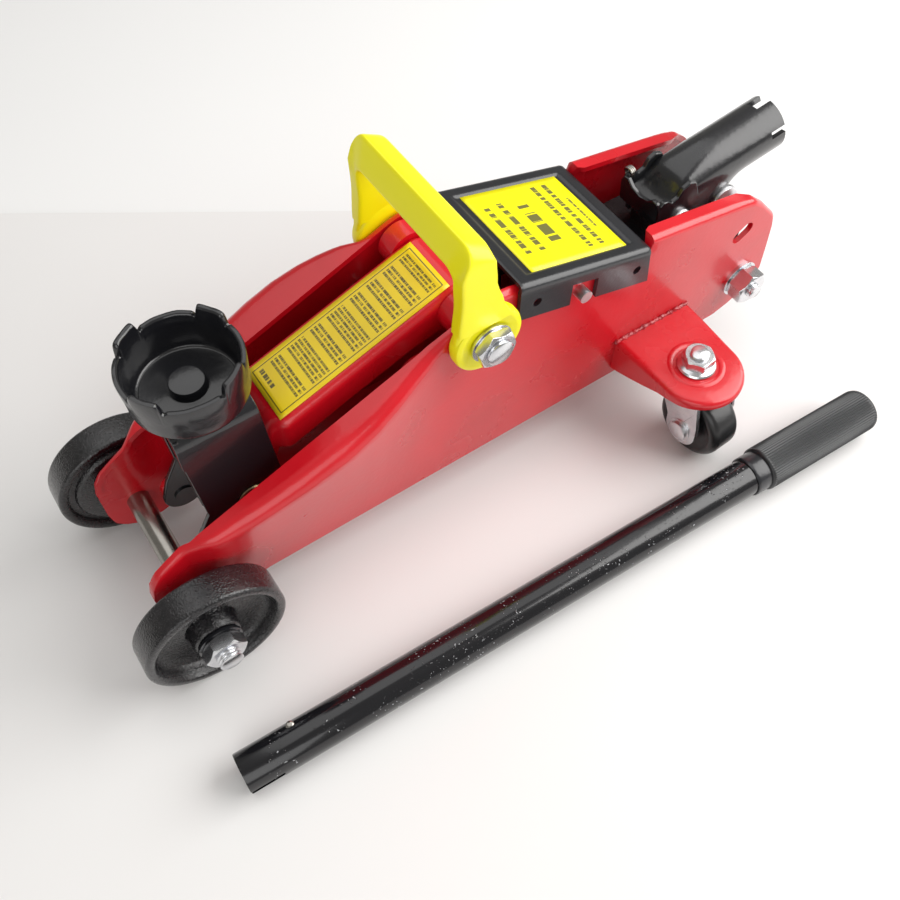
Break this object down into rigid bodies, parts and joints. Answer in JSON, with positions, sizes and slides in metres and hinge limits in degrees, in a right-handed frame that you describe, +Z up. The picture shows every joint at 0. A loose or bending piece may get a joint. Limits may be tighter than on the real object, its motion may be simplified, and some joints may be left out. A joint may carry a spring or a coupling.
{
  "type": "hydraulic floor jack",
  "caption": "Compact hydraulic floor jack: two pressed side plates, lift arm with swivelling saddle cup, carrying handle, rear casters, pump with handle socket and a loose pumping handle",
  "frame": {"origin": "centre of the bounding box of jack and loose handle in plan, on the floor", "axes": "+X from the saddle end to the handle socket end, along the longest side; the loose handle lies on the -Y side; +Z up"},
  "size_m": [0.3593, 0.2088, 0.1674],
  "materials": {
    "red_paint": "gloss",
    "black_paint": "satin",
    "yellow_paint": "gloss",
    "yellow_label": "satin",
    "arm_label": "satin",
    "zinc": "satin",
    "yellow_zinc": "satin",
    "steel": "satin",
    "wheel_black": "gloss",
    "caster_black": "gloss",
    "grip_rubber": "matte"
  },
  "bodies": {
    "frame": {"side_plate_near": "red_paint", "side_plate_far": "red_paint", "base_plate": "red_paint", "cover_plate": "black_paint", "cover_label": "yellow_label", "front_axle": "zinc", "axle_spacers": "black_paint", "axle_washers": "black_paint", "axle_nuts": "zinc", "lift_shaft": "zinc", "lift_shaft_washers": "zinc", "lift_shaft_nuts": "zinc", "tie_rod": "zinc", "rod_stub_pins": "zinc", "main_cylinder": "black_paint", "gland_nut": "zinc", "pump_block": "black_paint", "filler_plug": "zinc", "plunger_spring": "steel", "rear_bolts": "zinc", "rear_washers": "zinc", "rear_nuts": "zinc", "caster_bracket_near": "red_paint", "caster_bracket_far": "red_paint", "socket_pin": "zinc"},
    "wheel_near": {"front_wheel_near": "wheel_black"},
    "wheel_far": {"front_wheel_far": "wheel_black"},
    "arm": {"lift_arm": "red_paint", "arm_label": "arm_label", "pivot_tubes": "red_paint", "roller_pin": "zinc"},
    "roller": {"ram_roller": "steel"},
    "bracket": {"saddle_bracket": "black_paint", "saddle_pin": "yellow_zinc", "rod_pins": "black_paint"},
    "cup": {"saddle_cup": "black_paint", "saddle_clip": "zinc"},
    "rods": {"radius_rods": "red_paint"},
    "bail": {"carry_handle": "yellow_paint"},
    "ram": {"ram_rod": "steel", "ram_crosshead": "steel"},
    "plunger": {"pump_plunger": "steel"},
    "release": {"release_valve": "zinc"},
    "fork_near": {"caster_fork_near": "zinc", "swivel_nut_near": "zinc", "caster_axle_near": "zinc"},
    "fork_far": {"caster_fork_far": "zinc", "swivel_nut_far": "zinc", "caster_axle_far": "zinc"},
    "roll_near": {"caster_wheel_near": "caster_black"},
    "roll_far": {"caster_wheel_far": "caster_black"},
    "socket": {"handle_socket": "black_paint", "socket_roller": "zinc", "socket_rivet": "zinc", "socket_hook": "zinc"},
    "handle": {"handle_tube": "black_paint", "handle_collar": "black_paint", "handle_grip": "grip_rubber"}
  },
  "joints": [
    {"name": "wheel_near_spin", "type": "hinge", "parent": "frame", "child": "wheel_near", "pos_m": [-0.14865, -0.0266, 0.031], "axis": [0, 1, 0], "continuous": true},
    {"name": "wheel_far_spin", "type": "hinge", "parent": "frame", "child": "wheel_far", "pos_m": [-0.14865, 0.0634, 0.031], "axis": [0, 1, 0], "continuous": true},
    {"name": "lift_arm_hinge", "type": "hinge", "parent": "frame", "child": "arm", "pos_m": [-0.00865, 0.0184, 0.114], "axis": [0, 1, 0], "range_deg": [0, 100]},
    {"name": "roller_spin", "type": "hinge", "parent": "arm", "child": "roller", "pos_m": [0.01256, 0.0184, 0.09279], "axis": [0, 1, 0], "continuous": true},
    {"name": "bracket_level", "type": "hinge", "parent": "arm", "child": "bracket", "pos_m": [-0.10915, 0.0184, 0.06], "axis": [0, 1, 0], "range_deg": [-100, 0]},
    {"name": "cup_swivel", "type": "hinge", "parent": "bracket", "child": "cup", "pos_m": [-0.11575, 0.0184, 0.112], "axis": [0, 0, 1], "continuous": true},
    {"name": "rods_hinge", "type": "hinge", "parent": "frame", "child": "rods", "pos_m": [-0.03015, 0.0184, 0.091], "axis": [0, 1, 0], "range_deg": [0, 100]},
    {"name": "bail_hinge", "type": "hinge", "parent": "frame", "child": "bail", "pos_m": [-0.00865, 0.0184, 0.114], "axis": [0, 1, 0], "range_deg": [0, 35]},
    {"name": "ram_slide", "type": "slide", "parent": "frame", "child": "ram", "axis": [-1, 0, 0], "range_m": [0, 0.0458]},
    {"name": "socket_hinge", "type": "hinge", "parent": "frame", "child": "socket", "pos_m": [0.11695, 0.0184, 0.091], "axis": [0, -1, 0], "range_deg": [0, 40]},
    {"name": "plunger_slide", "type": "slide", "parent": "frame", "child": "plunger", "axis": [0, 0, 1], "range_m": [0, 0.018], "deforming": ["plunger_spring"]},
    {"name": "release_turn", "type": "hinge", "parent": "frame", "child": "release", "pos_m": [0.15135, 0.0324, 0.058], "axis": [1, 0, 0], "range_deg": [0, 180]},
    {"name": "caster_near_swivel", "type": "hinge", "parent": "frame", "child": "fork_near", "pos_m": [0.09735, -0.0432, 0.044], "axis": [0, 0, 1], "continuous": true},
    {"name": "caster_far_swivel", "type": "hinge", "parent": "frame", "child": "fork_far", "pos_m": [0.09735, 0.08, 0.044], "axis": [0, 0, 1], "continuous": true},
    {"name": "caster_near_spin", "type": "hinge", "parent": "fork_near", "child": "roll_near", "pos_m": [0.09793, -0.05418, 0.0185], "axis": [0.9986, 0.0523, 0], "continuous": true},
    {"name": "caster_far_spin", "type": "hinge", "parent": "fork_far", "child": "roll_far", "pos_m": [0.10688, 0.0855, 0.0185], "axis": [-0.5, 0.866, 0], "continuous": true},
    {"name": "handle_lift_off", "type": "slide", "parent": "frame", "child": "handle", "axis": [0, 0, 1], "range_m": [0, 0.12]}
  ],
  "couplings": [
    {"joint": "bracket_level", "follows": "lift_arm_hinge", "ratio": -1},
    {"joint": "rods_hinge", "follows": "lift_arm_hinge", "ratio": 1},
    {"joint": "bail_hinge", "follows": "lift_arm_hinge", "ratio": 0.35},
    {"joint": "ram_slide", "follows": "lift_arm_hinge", "m_per_rad": 0.026241},
    {"joint": "plunger_slide", "follows": "socket_hinge", "m_per_rad": 0.025783}
  ]
}
